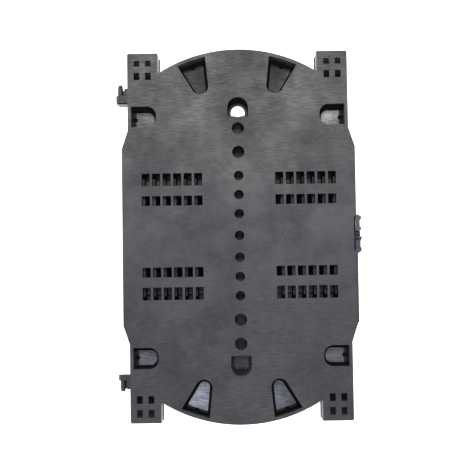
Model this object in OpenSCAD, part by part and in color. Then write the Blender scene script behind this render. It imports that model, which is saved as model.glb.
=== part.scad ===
// Fibre splice tray, moulded in one piece.
// It lies as it is stored: back plate up, open front face down on z = 0.
// +X is the latch side, -X the hinge side, +Y the end with the eyelet.

/* [Tray shell] */
// Width across the middle
body_w = 100; // [90:1:130]
// Width across the four corner ports
port_w = 94.6; // [88:0.2:99]
// Length over the two round ends
tray_l = 160.6; // [156:0.2:180]
// Length over the corner ports
port_l = 158.2; // [154:0.2:164]
// Depth from the back face to the front rim
depth = 12; // [10:0.5:18]
// Thickness of the back plate
floor_t = 1.5; // [1:0.1:2.5]
// Thickness of the side walls
wall_t = 1.4; // [1:0.1:2]
// Radius of the round ends
end_r = 63.2; // [58:0.2:80]
// Width of the round end between two corner ports
end_w = 68.4; // [60:0.2:74]
// Radius of the outer corners of the corner ports
port_corner = 0.7; // [0.3:0.1:1.5]
// Half length of the full-width middle
shoulder_y = 37.7; // [32:0.1:42]
// Length over which the side slants in to the port width
shoulder_l = 8.1; // [4:0.1:12]

/* [Retaining tabs] */
// Thickness of the tabs
tab_t = 1.5; // [1:0.1:2.5]
// Gap between a tab and the edge of its window
tab_gap = 1.3; // [0.6:0.1:2]
// Distance of the side tabs from the middle, along the tray
side_tab_y = 51.7; // [50:0.1:54]
// Length of a side window, from the wall to its round end
side_win_l = 10.8; // [8:0.1:13]
// Corner radius of a side window
side_win_r = 4; // [3:0.1:5]
// Straight stretch between the two corners of a side window
side_win_flat = 1; // [0:0.1:2]
// Angle of the end tabs off the long axis
end_tab_a = 18.7; // [16:0.1:21]
// Radius of the tip of an end window
end_win_r = 3.65; // [3:0.05:4.5]
// Length of an end window, from the wall to its tip centre
end_win_l = 11.6; // [9:0.1:14]
// Taper of the sides of an end window, each side
end_win_taper = 12.8; // [8:0.1:16]
// Radius of the relief hole at the root of a tab
relief_r = 1.05; // [0.5:0.05:1.2]
// Distance of that hole's centre from the wall
relief_in = 1.2; // [1:0.1:1.6]
// Size of the sloped foot under the root of a tab
foot = 1.2; // [0.6:0.1:2]

/* [Hubs and eyelet] */
// Outer radius of the two curved hub walls
hub_r = 30; // [25:0.5:32]
// Distance of the outside of a hub wall from the middle
hub_y = 51; // [50:0.1:52]
// Thickness of the hub walls
hub_t = 1.4; // [1:0.1:2]
// Half angle that a hub wall spans
hub_a = 40; // [30:1:50]
// Radius of the windows over the eyelet and the pocket
key_win_r = 4.45; // [4:0.05:5]
// Length of those windows, from their straight edge to the arc centre
key_win_l = 4.15; // [3:0.05:5]
// Radius of the eyelet's hole
eyelet_r = 3.1; // [2.5:0.1:3.4]
// Width of the ring around the eyelet's hole
eyelet_ring = 1.1; // [0.8:0.1:1.2]
// Depth of the tapered pocket
pocket_d = 6; // [3:0.5:8]
// Width of the pocket's floor
pocket_w = 6.2; // [4:0.1:7]
// Length of the pocket's floor
pocket_l = 5.7; // [4:0.1:6.5]
// Wall around the pocket
pocket_t = 1.2; // [0.8:0.1:1.6]
// Radius of the round mark in the pocket's floor
mark_r = 1.35; // [0.8:0.05:1.6]
// Depth of the round mark
mark_d = 0.25; // [0.1:0.05:0.4]
// Thickness of the two ribs down the pocket's round end
gusset_t = 0.5; // [0.3:0.1:0.8]
// Distance between the middles of those ribs
gusset_pitch = 1.4; // [1:0.1:2]

/* [Centre posts] */
// Bore of the seven middle posts
post_bore = 4.1; // [3:0.1:4.6]
// Bore of the four outer posts
big_post_bore = 5.3; // [4:0.1:6]
// Wall of a post
post_t = 1.1; // [0.8:0.1:1.4]
// Distance from the middle post to its neighbours
post_y = 9.3; // [8:0.1:10]
// Distance between the other small posts
post_pitch = 8.2; // [7.5:0.1:9]
// Distance between the large posts, and to their neighbours
big_post_pitch = 10.2; // [9.5:0.1:10.4]
// Distance that the posts stay back from the front rim
post_back = 1.5; // [0.5:0.1:3]
// Thickness of a post's closed end
post_end = 1.2; // [0.8:0.1:2]

/* [Splice combs] */
// Channels in each comb
channels = 6; // [3:1:6]
// Distance between channels
channel_pitch = 4.5; // [4.2:0.1:4.8]
// Thickness of the ribs between channels
rib_t = 1; // [0.8:0.1:1.4]
// Distance of each comb's middle from the long axis
comb_x = 28.6; // [27:0.1:30]
// Where the ribs start and end, from the middle
rib_y = [12.2, 28.2];
// Where the inner row of windows starts and ends
clip_y = [13.2, 17.4];
// Where the outer row of windows starts and ends
hook_y = [21.7, 27.1];
// Distance that the ribs stay back from the front rim
rib_back = 0.5; // [0:0.1:2]
// Slit beside each hook and clip, where a fibre passes
slit = 0.6; // [0.4:0.1:1]
// Length of a hook, from its rib to the slit
hook_l = 2.1; // [1.4:0.1:2.4]
// Height of the thick half of a hook over the front rim
hook_z = 4; // [2:0.1:5]
// Thickness of the thin half of a hook, and of a clip's nose
hook_t = 0.7; // [0.5:0.1:1.5]
// Height of the lip across the slit from a hook
lip_z = 5; // [2:0.1:6]
// Height of a clip's shoulder over the front rim
clip_z = 6.8; // [4:0.1:7.5]
// Width of a clip's shoulder
clip_w = 1.1; // [0.6:0.1:1.6]

/* [Tie slots] */
// Size of a cable-tie slot, across and along the tray
slot = [2.5, 3.2];
// Distances of the two slot columns from the long axis
slot_x = [38.4, 43.3];
// Distances of the two slot rows from the middle
slot_y = [69.2, 75];

/* [Hinge pins] */
// Distance of the pins' axis from the long axis
pin_x = 50.8; // [50.6:0.1:51.4]
// Height of the pins' axis over the front rim
pin_z = 6; // [5:0.1:7]
// Radius of the pins
pin_r = 1.2; // [0.9:0.05:1.25]
// Where the collar starts and ends, from the middle
collar_y = [58.8, 61.3];
// Radius of the collar
collar_r = 1.9; // [1.7:0.1:2.3]
// Distance of the pins' tips from the middle
pin_tip_y = 66; // [65:0.1:67]
// Length of the tapered tip
pin_taper = 1.7; // [0.5:0.1:1.9]
// Radius of the pin's end
pin_end_r = 0.85; // [0.5:0.05:0.9]
// How far the upper pin stands towards its end of the tray, and the lower pin away from its own
pin_shift = [0.4, -0.25];
// Thickness of the block that carries the pin, out from the wall
block_t = 1.5; // [1:0.1:1.6]
// Height of that block
block_h = 7; // [4:0.5:8]
// Thickness of the shelf under the pin
shelf_t = 1.5; // [0.8:0.1:1.6]
// Thickness of the stop bar behind the upper collar
bar_t = 1.75; // [1:0.05:2]
// Distance of the groove in the stop bar from the collar
groove_y = 0.9; // [0.5:0.1:1.2]
// Width of that groove
groove_w = 0.45; // [0.3:0.05:0.6]
// Depth of that groove
groove_d = 4; // [1:0.5:5]
// Where the block behind the upper pin ends, from the middle
upper_block = 64; // [62:0.1:65]
// Where the block behind the lower pin ends, from the middle
lower_block = 65; // [62:0.1:66]

/* [Latch] */
// Depth of the recess in the side wall behind the latch
latch_recess = 1.1; // [0.8:0.1:1.3]
// Where that recess starts and ends along the side
recess_y = [-7.3, 7.5];
// Distance of the slim strap from the outside of the side wall
latch_gap = 0.15; // [0.1:0.05:0.6]
// Thickness of the slim strap
latch_t = 1.5; // [1:0.1:1.8]
// Height of the slim strap, down from the latch's upper edge
strap_h = 2.5; // [1.5:0.5:6]
// How far the latch's two ends stand out from the side wall
latch_out = 2.3; // [2:0.1:2.6]
// How far the latch reaches into the recess
latch_in = 0.4; // [0.2:0.1:0.6]
// Height of the latch
latch_h = 6.5; // [4:0.5:8]
// Height of the latch's lower edge over the front rim
latch_z = 3; // [2:0.5:4]
// Where the latch starts and ends along the side
latch_y = [-8.2, 8.5];
// Where its two end blocks stop on their inner sides
latch_end_y = [-5.4, 6];
// Where the round knob starts and ends along the side
knob_y = [1.4, 3.2];
// How far the knob stands out from the side wall
knob_out = 2.2; // [1.8:0.1:2.4]
// Where the thin rib beside the knob starts and ends
thin_rib_y = [0.1, 0.45];
// Where the catch rib starts and ends
catch_y = [-1.75, -1.05];
// How far the catch rib stands out from the side wall
catch_out = 2.7; // [2.3:0.1:2.9]
// Where the thumb block starts and ends
thumb_y = [-5.6, -2.55];
// How far the thumb block stands out from the side wall
thumb_out = 1.75; // [1.5:0.05:2.2]
// How deep the ground between knob and thumb block lies under the latch's upper edge
catch_d = 3; // [1:0.5:4]
// How far that ground stands out from the side wall
catch_in = 2.05; // [1.6:0.05:2.3]
// How far the knob and thumb block rise over the latch's upper edge
latch_top = 1; // [0.2:0.1:1.5]
// Thickness of the web that joins the latch's lower half to the wall
web_t = 1; // [0.6:0.1:1.5]
// Where that web starts and ends along the side
web_y = [-5, 1];

/* [Side ledge] */
// How far the ledge stands out from the side wall
ledge_out = 0.5; // [0.2:0.1:0.6]
// Width of the step in the back plate above the ledge
ledge_step = 0.7; // [0.4:0.1:1]
// Depth of that step
ledge_d = 1; // [0.5:0.1:1.4]
// Where the ledge starts below the latch
ledge_y = 8; // [7:0.1:12]

/* [Hidden] */
$fn = 96;
eps = 0.01;
tip_cross = 0.03;
floor_z = depth - floor_t;
inner_x = port_w / 2 - wall_t;
end_c = tray_l / 2 - end_r;
key_y = hub_y + 0.3;
key_c = key_y + key_win_l;
eyelet_y = key_y + eyelet_r;
end_win_c = end_r - wall_t - end_win_l;
channel_w = channel_pitch - rib_t;
comb_w = channels * channel_pitch;
small_posts = [0, post_y, post_y + post_pitch, post_y + 2 * post_pitch];
big_post_y = small_posts[3] + big_post_pitch;
big_posts = [big_post_y, big_post_y + big_post_pitch];
wall_x = body_w / 2;
tray_color = "#3a3b3d";

// Repeats its children in all four corners.
module four_ways() {
    for (mx = [0, 1], my = [0, 1])
        mirror([mx, 0, 0]) mirror([0, my, 0]) children();
}

// Outline of the tray, moved in by g; "over" lengthens the corner ports.
module tray_outline(g = 0, over = 0) {
    px = port_w / 2 - g;
    bx = body_w / 2 - g;
    ix = end_w / 2 + g;
    py = port_l / 2 + over;
    sy = shoulder_y + shoulder_l;
    difference() {
        union() {
            square([2 * ix, tray_l], center = true);
            polygon([[px, py], [px, sy], [bx, shoulder_y], [bx, -shoulder_y],
                [px, -sy], [px, -py], [-px, -py], [-px, -sy],
                [-bx, -shoulder_y], [-bx, shoulder_y], [-px, sy], [-px, py]]);
        }
        for (m = [0, 1])
            mirror([0, m]) difference() {
                translate([-ix, end_c]) square([2 * ix, end_r + over + 1]);
                translate([0, end_c]) circle(end_r - g, $fn = 240);
            }
    }
}

// What rounding takes off the outer corners of the corner ports.
module port_corners() {
    four_ways() translate([port_w / 2 - port_corner, port_l / 2 - port_corner, -1])
        difference() {
            cube([port_corner + 1, port_corner + 1, depth + 2]);
            cylinder(r = port_corner, h = depth + 2);
        }
}

module prism(z0, z1) {
    translate([0, 0, z0]) linear_extrude(z1 - z0) children();
}

// Tongue that points towards -Y: a round tip at the origin, sides that
// widen by "taper" degrees each, and a root at y = len. The sides start
// just inside the tip's circle, so that they cross it and don't only touch it.
module tongue(r, len, taper = 0, flat = 0) {
    in = r - tip_cross;
    ux = flat / 2 + in * cos(taper);
    uy = -in * sin(taper);
    wide = (len - uy) * tan(taper);
    for (s = [-1, 1])
        translate([s * flat / 2, 0]) circle(r);
    translate([-flat / 2, -r]) square([flat + eps, r]);
    polygon([[-ux, uy], [ux, uy], [ux + wide, len], [-ux - wide, len]]);
}

// Places a tongue with its root on the side wall, or on the round end.
module at_side() {
    translate([inner_x - side_win_l + side_win_r, side_tab_y]) rotate(-90) children();
}

module at_end() {
    translate([0, end_c]) rotate(-end_tab_a) translate([0, end_win_c]) children();
}

module at_key() {
    translate([0, key_c]) rotate(180) children();
}

// Windows in the back plate that clear the tabs.
module windows() {
    four_ways() {
        at_side() tongue(side_win_r, side_win_l - side_win_r, 0, side_win_flat);
        intersection() {
            at_end() tongue(end_win_r, end_win_l + wall_t, end_win_taper);
            tray_outline(wall_t);
        }
        comb_places() {
            square_from_to(clip_y);
            square_from_to(hook_y);
        }
        for (x = slot_x, y = slot_y)
            translate([x, y]) square(slot, center = true);
    }
    at_key() tongue(key_win_r, key_win_l);
}

// Repeats a shape at each channel, with x = 0 on the channel's side nearer the long axis.
module comb_places() {
    for (i = [0 : channels - 1])
        translate([comb_x - comb_w / 2 + rib_t / 2 + i * channel_pitch, 0, 0]) children();
}

module square_from_to(y) {
    translate([0, y[0]]) square([channel_w, y[1] - y[0]]);
}

module shell() {
    prism(floor_z, depth) tray_outline();
    difference() {
        prism(0, depth) tray_outline();
        prism(-1, floor_z) tray_outline(wall_t, 1);
    }
}

// Each tab is its window's tongue less the gap, run into its wall.
module side_tab() {
    at_side() tongue(side_win_r - tab_gap, side_win_l - side_win_r + wall_t / 2, 0, side_win_flat);
}

module end_tab() {
    intersection() {
        at_end() tongue(end_win_r - tab_gap, end_win_l + wall_t, end_win_taper);
        tray_outline(wall_t / 2);
    }
}

module tabs() {
    four_ways() prism(0, tab_t) {
        side_tab();
        end_tab();
    }
}

// Sloped foot where a tab meets its wall, w wide, with the wall's face at y = 0.
module root_foot(w) {
    translate([-w / 2, 0, tab_t - eps]) rotate([90, 0, 90]) linear_extrude(w)
        polygon([[-foot, 0], [wall_t / 2, 0], [wall_t / 2, foot], [0, foot]]);
}

module feet() {
    side_w = 2 * (side_win_r - tab_gap) + side_win_flat;
    end_w0 = 2 * (end_win_r - tab_gap + (end_win_l - foot) * tan(end_win_taper));
    four_ways() {
        translate([inner_x, side_tab_y, 0]) rotate(-90) root_foot(side_w);
        translate([0, end_c, 0]) rotate(-end_tab_a) translate([0, end_r - wall_t, 0]) root_foot(end_w0);
    }
}

// Small hole through the middle of each tab's root.
module relief_holes() {
    four_ways() {
        translate([inner_x - relief_in, side_tab_y, -1]) cylinder(r = relief_r, h = tab_t + foot + 1);
        translate([0, end_c, 0]) rotate(-end_tab_a)
            translate([0, end_r - wall_t - relief_in, -1]) cylinder(r = relief_r, h = tab_t + foot + 1);
    }
}

module hub_wall() {
    prism(0, floor_z + eps)
        translate([0, hub_y - hub_r]) intersection() {
            difference() {
                circle(hub_r, $fn = 180);
                circle(hub_r - hub_t, $fn = 180);
            }
            polygon([[0, 0], [hub_r * 2 * tan(hub_a), hub_r * 2], [-hub_r * 2 * tan(hub_a), hub_r * 2]]);
        }
}

module eyelet_tab() {
    prism(0, tab_t)
        translate([0, eyelet_y]) rotate(180)
            tongue(eyelet_r + eyelet_ring, eyelet_y - hub_y + hub_t / 2);
}

// Tapered pocket: from the D-shaped mouth down to a smaller floor; g adds a wall.
module pocket(g, z) {
    corner = pocket_w / 4;
    root = key_y - hub_y + hub_t / 2;
    back = g > 0 ? root : 0;
    hull() {
        translate([0, -key_c, depth - floor_t * (g > 0 ? 1 : 0)]) linear_extrude(eps)
            tongue(key_win_r + g, key_win_l + back, $fn = 48);
        translate([0, -key_y - pocket_l + corner, z]) linear_extrude(eps)
            tongue(corner + g, pocket_l - corner + back, 0, pocket_w - 2 * corner, $fn = 48);
    }
}

// Ribs that stand out of the slope at the pocket's round end.
module pocket_gussets() {
    foot_y = -key_y - pocket_l;
    top_y = -key_c - key_win_r;
    for (s = [-1, 1])
        translate([(s * gusset_pitch - gusset_t) / 2, 0, depth - pocket_d])
            rotate([90, 0, 90]) linear_extrude(gusset_t)
                polygon([[foot_y + 1, -eps], [foot_y - 1, -eps], [top_y - 0.3, pocket_d - 0.6],
                    [top_y + 0.7, pocket_d - 0.6]]);
}

module posts(grow, z0, z1) {
    for (m = [0, 1])
        mirror([0, m, 0]) {
            for (y = small_posts)
                translate([0, y, z0]) cylinder(d = post_bore + 2 * grow, h = z1 - z0);
            for (y = big_posts)
                translate([0, y, z0]) cylinder(d = big_post_bore + 2 * grow, h = z1 - z0);
        }
}

module comb() {
    for (i = [0 : channels])
        translate([comb_x - comb_w / 2 - rib_t / 2 + i * channel_pitch, rib_y[0], rib_back])
            cube([rib_t, rib_y[1] - rib_y[0], floor_z - rib_back + eps]);
    comb_places() {
        hook();
        clip();
    }
}

// Hook from the rib nearer the long axis, thick in its inner half, and the lip
// on the next rib: a fibre is pressed through the slit between them.
module hook() {
    mid = (hook_y[0] + hook_y[1]) / 2;
    wide = hook_y[1] - hook_y[0];
    translate([-rib_t / 2, hook_y[0], rib_back]) {
        cube([hook_l + rib_t / 2, wide, hook_t]);
        cube([hook_l + rib_t / 2, mid - hook_y[0], hook_z - rib_back]);
    }
    translate([hook_l + slit, hook_y[0], rib_back])
        cube([channel_w - hook_l - slit + rib_t / 2, wide * 0.7, lip_z - rib_back]);
}

// Clip with a flat shoulder that holds a sleeve down, and a long sloped nose.
module clip() {
    end_x = channel_w + rib_t / 2;
    nose = rib_back + hook_t;
    translate([0, clip_y[1], 0]) rotate([90, 0, 0]) linear_extrude(clip_y[1] - clip_y[0])
        polygon([[slit, rib_back], [end_x, rib_back], [end_x, clip_z], [channel_w - clip_w, clip_z], [slit, nose]]);
}

// Hinge pin on the -X side, pointing to +Y.
module hinge_pin(block_end, bar) {
    face = port_w / 2;
    arm = pin_x - face;
    collar_l = collar_y[1] - collar_y[0];
    shank = pin_tip_y - pin_taper - collar_y[1];
    low = pin_z - block_h / 2;
    translate([-pin_x, collar_y[0], pin_z]) rotate([-90, 0, 0]) cylinder(r = collar_r, h = collar_l);
    translate([-pin_x, collar_y[0], pin_z - collar_r]) cube([arm + eps, collar_l, 2 * collar_r]);
    translate([-pin_x, collar_y[1] - eps, pin_z]) rotate([-90, 0, 0]) cylinder(r = pin_r, h = shank + eps);
    translate([-pin_x, collar_y[1] + shank, pin_z]) rotate([-90, 0, 0])
        cylinder(r1 = pin_r, r2 = pin_end_r, h = pin_taper);
    translate([-face - block_t, collar_y[0], low]) cube([block_t + eps, block_end - collar_y[0], block_h]);
    translate([-pin_x, collar_y[0], low]) cube([arm + eps, block_end - collar_y[0], shelf_t]);
    if (bar)
        difference() {
            translate([-pin_x - collar_r + 0.4 + bar_t / 2, collar_y[0] + eps - bar_t / 2, low])
                linear_extrude(block_h) rotate(-90) tongue(bar_t / 2, arm + collar_r - 0.4 - bar_t / 2 + eps);
            translate([-pin_x - collar_r + 1.1, collar_y[0] - groove_y - groove_w, low + block_h - groove_d])
                cube([arm + collar_r - 1.1 - eps, groove_w, groove_d + 1]);
        }
}

module hinge_pins() {
    translate([0, pin_shift[0], 0]) hinge_pin(upper_block, true);
    mirror([0, 1, 0]) translate([0, pin_shift[1], 0]) hinge_pin(lower_block, false);
}

// One block of the latch: along the side, off the wall and in height.
module latch_block(y, x0, x1, z0, z1) {
    translate([wall_x + x0, y[0], z0]) cube([x1 - x0, y[1] - y[0], z1 - z0]);
}

// The wall steps in behind the latch; g = wall_t gives the wall's inner side.
module recess(g, z0, z1) {
    translate([wall_x - latch_recess - g, recess_y[0] - g, z0])
        cube([latch_recess + g + (g > 0 ? 0 : 1), recess_y[1] - recess_y[0] + 2 * g, z1 - z0]);
}

// End block of the latch, from its inner side at y0 to its outer end at y1.
module latch_end(y0, y1) {
    s = sign(y1);
    translate([wall_x, 0])
        polygon([[-latch_in, y0], [catch_in - 0.4, y0], [latch_out, y0 + s * 0.4],
            [latch_out, y1 - s * 0.9], [latch_gap + latch_t / 2, y1 - s * 0.1], [-latch_in, y1]]);
}

module latch() {
    top = latch_z + latch_h;
    ground = top - catch_d;
    knob_r = (knob_y[1] - knob_y[0]) / 2;
    latch_block([knob_y[1] - eps, latch_end_y[1] + eps], latch_gap, latch_gap + latch_t, top - strap_h, top);
    latch_block([thumb_y[1] - eps, knob_y[0] + eps], -latch_in, catch_in, latch_z, ground);
    latch_block([latch_end_y[0] - eps, thumb_y[1]], -latch_in, thumb_out, latch_z, top + latch_top);
    latch_block(thin_rib_y, -latch_in, thumb_out, ground - eps, top);
    latch_block(catch_y, latch_gap, catch_out, latch_z + 0.5, top);
    latch_block([thumb_y[1] - eps, catch_y[0] + eps], catch_in - 0.5, catch_out - 0.2,
        latch_z + 0.5, ground - 0.5);
    prism(latch_z, top) {
        latch_end(latch_end_y[0], latch_y[0]);
        latch_end(latch_end_y[1], latch_y[1]);
    }
    prism(latch_z, top + latch_top)
        translate([wall_x + knob_out - knob_r, knob_y[0] + knob_r])
            rotate(90) tongue(knob_r, knob_out - knob_r + latch_in);
    translate([wall_x - latch_recess - eps, web_y[0], latch_z])
        cube([latch_recess - latch_in + 2 * eps, web_y[1] - web_y[0], web_t]);
}

// Ledge on the latch side, from the latch down to the shoulder.
module ledge(out, z0, z1) {
    translate([wall_x - ledge_step, -shoulder_y, z0]) cube([ledge_step + out, shoulder_y - ledge_y, z1 - z0]);
}

module splice_tray() {
    color(tray_color) {
        difference() {
            union() {
                shell();
                recess(wall_t, 0, depth - eps);
                tabs();
                feet();
                for (m = [0, 1])
                    mirror([0, m, 0]) hub_wall();
                eyelet_tab();
                pocket(pocket_t, depth - pocket_d - pocket_t);
                posts(post_t, post_back, floor_z + eps);
                four_ways() comb();
                hinge_pins();
                ledge(ledge_out, 0, depth - ledge_d);
            }
            prism(floor_z - eps, depth + 1) windows();
            pocket(0, depth - pocket_d);
            translate([0, -key_y - pocket_l / 2, depth - pocket_d - mark_d]) cylinder(r = mark_r, h = 1);
            posts(0, post_back + post_end, depth + 1);
            relief_holes();
            port_corners();
            recess(0, -1, depth + 1);
            translate([0, eyelet_y, -1]) cylinder(r = eyelet_r, h = tab_t + 2);
            ledge(1, depth - ledge_d, depth + 1);
        }
        pocket_gussets();
        latch();
    }
}

splice_tray();
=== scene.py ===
import math
import bmesh
import bpy
from mathutils import Matrix, Vector


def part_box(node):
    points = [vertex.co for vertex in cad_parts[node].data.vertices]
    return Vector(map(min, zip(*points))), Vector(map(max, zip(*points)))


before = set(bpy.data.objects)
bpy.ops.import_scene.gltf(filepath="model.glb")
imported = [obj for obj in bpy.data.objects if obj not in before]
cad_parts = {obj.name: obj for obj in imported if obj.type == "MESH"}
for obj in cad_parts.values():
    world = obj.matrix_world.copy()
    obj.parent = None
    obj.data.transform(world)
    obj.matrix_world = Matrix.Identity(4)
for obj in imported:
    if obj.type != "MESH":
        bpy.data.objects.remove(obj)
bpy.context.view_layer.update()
print("frame loaded")

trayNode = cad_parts["splice_tray"]
trayLow, trayHigh = (Vector(corner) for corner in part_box("splice_tray"))
trayMiddle = (trayLow + trayHigh) / 2
backZ = trayHigh.z  # the back plate lies up

nodeGrid = {"columns": 12, "across": 190, "down": 260}  # where new nodes go in the editor


def metres(millimetres):
    return tuple(value / 1000 for value in millimetres)


def newNode(tree, kind, **values):
    row, column = divmod(len(tree.nodes), nodeGrid["columns"])
    node = tree.nodes.new(kind)
    node.location = (column * nodeGrid["across"], -row * nodeGrid["down"])
    for name, value in values.items():
        setattr(node, name, value)
    return node


# a socket takes a number or another node's output
def feed(tree, socket, value):
    if isinstance(value, bpy.types.NodeSocket):
        tree.links.new(value, socket)
    else:
        socket.default_value = value


def mathNode(tree, operation, *values):
    node = newNode(tree, "ShaderNodeMath", operation=operation)
    for socket, value in zip(node.inputs, values):
        feed(tree, socket, value)
    return node.outputs[0]


def rangeNode(tree, value, fromRange, toRange):
    node = newNode(tree, "ShaderNodeMapRange")
    feed(tree, node.inputs["Value"], value)
    node.inputs["From Min"].default_value, node.inputs["From Max"].default_value = fromRange
    node.inputs["To Min"].default_value, node.inputs["To Max"].default_value = toRange
    return node.outputs["Result"]


def noiseNode(tree, vector, scale, detail, roughness):
    node = newNode(tree, "ShaderNodeTexNoise")
    feed(tree, node.inputs["Vector"], vector)
    node.inputs["Scale"].default_value = scale
    node.inputs["Detail"].default_value = detail
    node.inputs["Roughness"].default_value = roughness
    return node.outputs["Fac"]


def colourNode(tree, blend, factor, first, second):
    node = newNode(tree, "ShaderNodeMix", data_type="RGBA", blend_type=blend)
    feed(tree, node.inputs["Factor"], factor)
    feed(tree, node.inputs["A"], first)
    feed(tree, node.inputs["B"], second)
    return node.outputs["Result"]


def bumpNode(tree, height, distance, strength, normal=None):
    node = newNode(tree, "ShaderNodeBump")
    feed(tree, node.inputs["Height"], height)
    node.inputs["Distance"].default_value = distance
    feed(tree, node.inputs["Strength"], strength)
    if normal:
        feed(tree, node.inputs["Normal"], normal)
    return node.outputs["Normal"]


# satin black ABS, cloudy from the mould; painted reflection makes it cooler and darker towards one end and
# warmer and lighter towards the other
plastic = {
    "dark": (0.024, 0.025, 0.029, 1),
    "light": (0.056, 0.055, 0.056, 1),
    "coolReflection": (0.94, 0.97, 1.16, 1),
    "warmReflection": (1.04, 1.0, 0.98, 1),
    "warmReflectionAlong": (0, 45),  # millimetres up the tray
    "cloudScale": 52,
    "cloudDetail": 5,
    "cloudRoughness": 0.68,
    "cloudRange": (0.37, 0.63),
    "shade": (0.68, 1.4),  # painted reflection, darker at the tray's lower end and lighter at its upper end
    "reflectionShadeAlong": (-60, 60),  # millimetres up the tray
    "roughness": (0.54, 0.38),  # in dark and in light clouds
    "grainScale": 3800,
    "grainDetail": 2,
    "grainRoughness": 0.5,
    "grainHeight": 0.000012,  # metres
}

# fine lines across the plate, strongest towards its two ends
fineLines = {
    "stretch": (260, 4300, 900),
    "noiseDetail": 1,
    "noiseRoughness": 0.6,
    "noiseRange": (0.3, 0.7),
    "shade": 0.5,
    "roughnessChange": -0.08,
    "height": 0.000012,  # metres
    "weakestAt": 6,  # millimetres up the tray
    "fadeAlong": (12, 50),
    "fade": (0.35, 1),
}

# painted reflection lifting each tab's face, with its middle, in millimetres
paintedTabReflections = {
    "height": (0.8, 3),
    "sideHalf": (4.7, 6),
    "sides": (((-41, 51.7), 11), ((41, 51.7), 16), ((-41, -51.7), 13), ((41, -51.7), 9)),
    "endHalf": (8, 10),
    "ends": (((-18, 70), 1.0), ((18, 70), 1.3), ((-18, -70), 27), ((18, -70), 13)),
}

# painted shadow: dark band along the roots of the end tabs, inside the round ends, in millimetres
paintedRootShadow = {
    "arcMiddle": 17.1,
    "inner": 59.7,
    "outer": 61.9,
    "low": (-33, -90, 0.8),
    "high": (33, 90, 3),
    "shade": 0.12,
}

# other places with painted shade or painted light, in millimetres: lowest and highest corner, and shade
paintedShadeAndLightPlaces = (
    ((-46, 40, 0.8), (-44.1, 60, 3), 0.15),  # painted shadow at the roots of the side tabs
    ((44.1, 40, 0.8), (46, 60, 3), 0.1),
    ((-46, -60, 0.8), (-44.1, -40, 3), 0.15),
    ((44.1, -60, 0.8), (46, -40, 3), 0.2),
    ((-2.72, -48, 1), (2.72, 48, 10.4), 0.25),  # painted shade inside the posts
    ((49.5, -8.6, 2), (54, 8.7, 12), 1.6),  # painted light on the latch
)

# scratches and rubs on the back plate, in millimetres: middle, length, width, turn in degrees and strength
scratches = (
    ((18.5, -1.5), 14, 0.22, 58, 1.5),
    ((-27.5, 10.0), 4.5, 0.5, 22, 0.8),
    ((-20.5, 4.0), 5.0, 0.45, 12, 0.6),
    ((-33.0, 17.0), 8.0, 0.35, -12, 0.5),
    ((-21.0, -66.0), 0.4, 5.0, 0, 0.4),
    ((-16.0, -23.5), 3.5, 0.9, 30, -0.35),
    ((12.0, 33.0), 0.35, 7.0, 4, 0.35),
    ((-30.0, 30.0), 9.0, 0.3, 6, 0.3),
)
scratchDepth = 0.5  # how far a scratch's shade reaches from the plate's face
scratchFade = (0.3, 1)  # from the solid middle of a scratch to its edge


# 1 inside the box and 0 outside it
def boxMask(tree, place, low, high):
    mask = 1
    for axis, (lowest, highest) in enumerate(zip(metres(low), metres(high))):
        above = mathNode(tree, "GREATER_THAN", place.outputs[axis], lowest)
        below = mathNode(tree, "LESS_THAN", place.outputs[axis], highest)
        mask = mathNode(tree, "MULTIPLY", mathNode(tree, "MULTIPLY", above, below), mask)
    return mask


def tabMask(tree, place, middle, half):
    low, high = ([middle[axis] + side * half[axis] for axis in (0, 1)] for side in (-1, 1))
    return boxMask(tree, place, low + [paintedTabReflections["height"][0]], high + [paintedTabReflections["height"][1]])


# distance from the middle of the nearer round end's arc
def endReach(tree, place):
    along = mathNode(tree, "ABSOLUTE", place.outputs[1])
    off = mathNode(tree, "SUBTRACT", along, paintedRootShadow["arcMiddle"] / 1000)
    across = mathNode(tree, "MULTIPLY", place.outputs[0], place.outputs[0])
    return mathNode(tree, "SQRT", mathNode(tree, "ADD", mathNode(tree, "MULTIPLY", off, off), across))


# where the painted shadow along the end tab roots lies
def rootShadowMask(tree, place, reach):
    beyond = mathNode(tree, "GREATER_THAN", reach, paintedRootShadow["inner"] / 1000)
    within = mathNode(tree, "LESS_THAN", reach, paintedRootShadow["outer"] / 1000)
    band = mathNode(tree, "MULTIPLY", beyond, within)
    return mathNode(tree, "MULTIPLY", band, boxMask(tree, place, paintedRootShadow["low"], paintedRootShadow["high"]))


# soft ellipse on the plate's face
def scratchMask(tree, coords, middle, length, width, turn):
    turned = newNode(tree, "ShaderNodeMapping", vector_type="TEXTURE")
    turned.inputs["Location"].default_value = (*metres(middle), backZ)
    turned.inputs["Rotation"].default_value = (0, 0, math.radians(turn))
    turned.inputs["Scale"].default_value = metres((length / 2, width / 2, scratchDepth))
    feed(tree, turned.inputs["Vector"], coords)
    away = newNode(tree, "ShaderNodeVectorMath", operation="LENGTH")
    feed(tree, away.inputs[0], turned.outputs[0])
    return rangeNode(tree, away.outputs["Value"], scratchFade, (1, 0))


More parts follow.
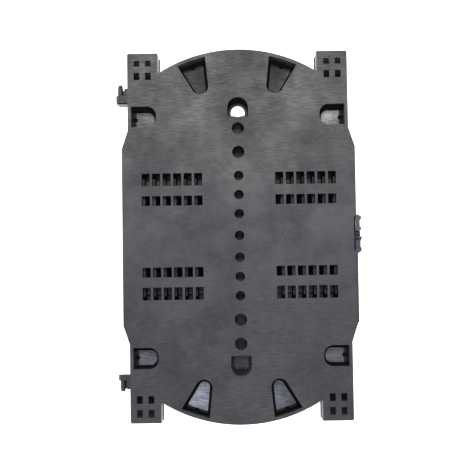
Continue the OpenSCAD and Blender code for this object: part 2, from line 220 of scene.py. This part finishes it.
# painted light and shade of each place, with the scratches, times the cloudy colour
def makePaintedLightAndScratches(tree, coords, place):
    # painted reflection: darker towards the lower end of the tray and lighter towards the upper end
    shade = rangeNode(tree, place.outputs[1], metres(plastic["reflectionShadeAlong"]), plastic["shade"])
    reach = endReach(tree, place)
    inside = mathNode(tree, "LESS_THAN", reach, paintedRootShadow["inner"] / 1000)
    masks = []
    # painted reflection on the faces of the side and end tabs
    for middle, lift in paintedTabReflections["sides"]:
        masks.append((tabMask(tree, place, middle, paintedTabReflections["sideHalf"]), lift))
    for middle, lift in paintedTabReflections["ends"]:
        face = tabMask(tree, place, middle, paintedTabReflections["endHalf"])
        masks.append((mathNode(tree, "MULTIPLY", face, inside), lift))
    # painted shade and painted light on the places listed above
    masks += [(boxMask(tree, place, low, high), lift) for low, high, lift in paintedShadeAndLightPlaces]
    # painted shadow along the roots of the end tabs
    masks.append((rootShadowMask(tree, place, reach), paintedRootShadow["shade"]))
    for *scratch, strength in scratches:
        masks.append((scratchMask(tree, coords, *scratch), 1 + strength))
    for mask, lift in masks:
        shade = mathNode(tree, "MULTIPLY", mathNode(tree, "MULTIPLY_ADD", mask, lift - 1, 1), shade)
    return shade


# the lines as they come, the same stretched to 0..1, and how strong they are
def makeFineLines(tree, coords, place):
    stretch = newNode(tree, "ShaderNodeMapping")
    stretch.inputs["Scale"].default_value = fineLines["stretch"]
    feed(tree, stretch.inputs["Vector"], coords)
    detail, roughness = fineLines["noiseDetail"], fineLines["noiseRoughness"]
    raw = noiseNode(tree, stretch.outputs["Vector"], 1, detail, roughness)
    off = mathNode(tree, "SUBTRACT", place.outputs[1], fineLines["weakestAt"] / 1000)
    away = mathNode(tree, "ABSOLUTE", off)
    strong = rangeNode(tree, away, metres(fineLines["fadeAlong"]), fineLines["fade"])
    return raw, rangeNode(tree, raw, fineLines["noiseRange"], (0, 1)), strong


def makePlastic():
    material = bpy.data.materials.new("satinBlackPlastic")
    material.use_nodes = True
    tree = material.node_tree
    shader = tree.nodes["Principled BSDF"]
    coords = newNode(tree, "ShaderNodeTexCoord").outputs["Object"]
    place = newNode(tree, "ShaderNodeSeparateXYZ")
    feed(tree, place.inputs[0], coords)

    cloudDetail, cloudRoughness = plastic["cloudDetail"], plastic["cloudRoughness"]
    clouds = noiseNode(tree, coords, plastic["cloudScale"], cloudDetail, cloudRoughness)
    cloud = rangeNode(tree, clouds, plastic["cloudRange"], (0, 1))
    tint = colourNode(tree, "MIX", cloud, plastic["dark"], plastic["light"])
    # painted reflection: cooler towards one end of the tray and warmer towards the other
    warmPart = rangeNode(tree, place.outputs[1], metres(plastic["warmReflectionAlong"]), (0, 1))
    warmth = colourNode(tree, "MIX", warmPart, plastic["coolReflection"], plastic["warmReflection"])
    warmed = colourNode(tree, "MULTIPLY", 1, tint, warmth)

    rawLine, line, strong = makeFineLines(tree, coords, place)
    swing = mathNode(tree, "MULTIPLY", mathNode(tree, "SUBTRACT", line, 0.5), strong)
    lineShade = mathNode(tree, "MULTIPLY_ADD", swing, fineLines["shade"] * 2, 1)
    shaded = newNode(tree, "ShaderNodeVectorMath", operation="SCALE")
    feed(tree, shaded.inputs[0], warmed)
    # painted light and shade, with the scratches
    paintedLightAndScratches = makePaintedLightAndScratches(tree, coords, place)
    feed(tree, shaded.inputs["Scale"], mathNode(tree, "MULTIPLY", lineShade, paintedLightAndScratches))
    feed(tree, shader.inputs["Base Color"], shaded.outputs[0])

    rough = rangeNode(tree, cloud, (0, 1), plastic["roughness"])
    lineRough = mathNode(tree, "MULTIPLY_ADD", line, fineLines["roughnessChange"], rough)
    feed(tree, shader.inputs["Roughness"], lineRough)

    grainDetail, grainRoughness = plastic["grainDetail"], plastic["grainRoughness"]
    grain = noiseNode(tree, coords, plastic["grainScale"], grainDetail, grainRoughness)
    lineBump = bumpNode(tree, rawLine, fineLines["height"], strong)
    feed(tree, shader.inputs["Normal"], bumpNode(tree, grain, plastic["grainHeight"], 1, lineBump))
    return material


satinBlack = makePlastic()
for slot in trayNode.material_slots:
    slot.material = satinBlack
print("plastic made")

# lengths in metres
studio = {
    "floorSize": 4.0,
    "floorColour": (0.92, 0.92, 0.92, 1),
    "floorGlow": 1.2,
    "paperRoughness": 0.9,
    "skyColour": (1, 1, 1, 1),
    "sky": (1.38, 0.12),  # strength round the sides and straight over the tray
    "skyFade": (0.8, 1),  # the height in the sky where one turns into the other
    "northLamp": ((0.0, 0.375, 1.5), 0.3, 3),  # place over the tray, size, watts
    "southLamp": ((0.0, -0.42, 1.5), 0.3, 1.5),
}

# painted shadow: a black sheet that the tray lies on, a little smaller than the tray, standing in for the
# shade under it, in millimetres
shadowSheet = {
    "port": (46.9, 78.7),
    "body": (49.6, 37.5),
    "latch": (50.75, 8),
    "shoulder": 45.8,
    "end": (33.8, 62.8, 17.1),  # half width, arc radius and the arc's middle
    "endSteps": 24,
    "eyelet": (0, 54.5, 3.5),  # middle and radius of the hole under the eyelet
    "eyeletSteps": 32,
    "lift": 0.05,
    "colour": (0.012, 0.012, 0.013, 1),
}


def makePaper(name, colour, glow):
    material = bpy.data.materials.new(name)
    material.use_nodes = True
    shader = material.node_tree.nodes["Principled BSDF"]
    shader.inputs["Base Color"].default_value = colour
    shader.inputs["Roughness"].default_value = studio["paperRoughness"]
    shader.inputs["Emission Color"].default_value = (1, 1, 1, 1)
    shader.inputs["Emission Strength"].default_value = glow
    return material


def makeFloor():
    place = (trayMiddle.x, trayMiddle.y, trayLow.z)
    bpy.ops.mesh.primitive_plane_add(size=studio["floorSize"], location=place)
    floor = bpy.context.object
    floor.name = "paleFloor"
    floor.data.materials.append(makePaper("paleFloor", studio["floorColour"], studio["floorGlow"]))


def onCircle(middleX, middleY, radius, angle):
    return middleX + radius * math.cos(angle), middleY + radius * math.sin(angle)


# anticlockwise, from the lower right of the body
def shadowSheetOutline():
    portX, portY = shadowSheet["port"]
    bodyX, bodyY = shadowSheet["body"]
    latchX, latchY = shadowSheet["latch"]
    halfEnd, radius, middle = shadowSheet["end"]
    first = math.acos(halfEnd / radius)
    turn = (math.pi - 2 * first) / shadowSheet["endSteps"]
    arc = [onCircle(0, middle, radius, first + turn * i) for i in range(shadowSheet["endSteps"] + 1)]
    port = [(portX, shadowSheet["shoulder"]), (portX, portY), (halfEnd, portY)]
    latch = [(bodyX, -latchY), (latchX, -latchY), (latchX, latchY), (bodyX, latchY)]
    upper = [(bodyX, bodyY)] + port + arc + [(-x, y) for x, y in reversed(port)] + [(-bodyX, bodyY)]
    return latch + upper + [(-x, -y) for x, y in upper]


def eyeletRing():
    turn = 2 * math.pi / shadowSheet["eyeletSteps"]
    return [onCircle(*shadowSheet["eyelet"], turn * i) for i in range(shadowSheet["eyeletSteps"])]


# painted shadow: the black sheet under the tray, with a hole under the eyelet
def makeShadowSheet():
    shape = bmesh.new()
    for loop in (shadowSheetOutline(), eyeletRing()):
        points = [shape.verts.new((*metres(point), trayLow.z + shadowSheet["lift"] / 1000)) for point in loop]
        for first, second in zip(points, points[1:] + points[:1]):
            shape.edges.new((first, second))
    bmesh.ops.triangle_fill(shape, use_beauty=True, edges=shape.edges[:], normal=(0, 0, 1))
    mesh = bpy.data.meshes.new("paintedShadowSheet")
    shape.to_mesh(mesh)
    shape.free()
    piece = bpy.data.objects.new("paintedShadowSheet", mesh)
    bpy.context.collection.objects.link(piece)
    mesh.materials.append(makePaper("paintedShadowSheet", shadowSheet["colour"], 0))


def makeLamp(name, place, size, power):
    lamp = bpy.data.lights.new(name, "AREA")
    lamp.shape = "DISK"
    lamp.size = size
    lamp.energy = power
    holder = bpy.data.objects.new(name, lamp)
    bpy.context.collection.objects.link(holder)
    holder.location = trayMiddle + Vector(place)
    holder.rotation_euler = (-Vector(place)).to_track_quat("-Z", "Y").to_euler()


def lightStudio():
    bpy.context.scene.view_settings.view_transform = "Standard"
    world = bpy.data.worlds.new("studio")
    bpy.context.scene.world = world
    world.use_nodes = True
    tree = world.node_tree
    sky = tree.nodes["Background"]
    sky.inputs["Color"].default_value = studio["skyColour"]
    parts = newNode(tree, "ShaderNodeSeparateXYZ")
    feed(tree, parts.inputs[0], newNode(tree, "ShaderNodeTexCoord").outputs["Generated"])
    feed(tree, sky.inputs["Strength"], rangeNode(tree, parts.outputs[2], studio["skyFade"], studio["sky"]))
    makeLamp("northLamp", *studio["northLamp"])
    makeLamp("southLamp", *studio["southLamp"])


shot = {
    "lens": 94.95,  # millimetres on the sensor
    "sensor": 36,
    "nearest": 0.01,
    "place": (-0.57, -32.84, 531.3),  # millimetres from the middle of the back plate
    "tilts": (-3.49, -0.080, 0.881),  # degrees about X, Y and Z
}


def placeCamera():
    camera = bpy.data.cameras.new("viewer")
    camera.lens = shot["lens"]
    camera.sensor_width = shot["sensor"]
    camera.clip_start = shot["nearest"]
    holder = bpy.data.objects.new("viewer", camera)
    bpy.context.collection.objects.link(holder)
    place = Vector(metres(shot["place"])) + Vector((trayMiddle.x, trayMiddle.y, backZ))
    tiltX, tiltY, roll = (
        Matrix.Rotation(math.radians(angle), 4, axis) for angle, axis in zip(shot["tilts"], "XYZ")
    )
    holder.matrix_world = Matrix.Translation(place) @ (roll @ tiltY @ tiltX).transposed()
    bpy.context.scene.camera = holder


makeFloor()
makeShadowSheet()
lightStudio()
placeCamera()
print("studio and camera placed")
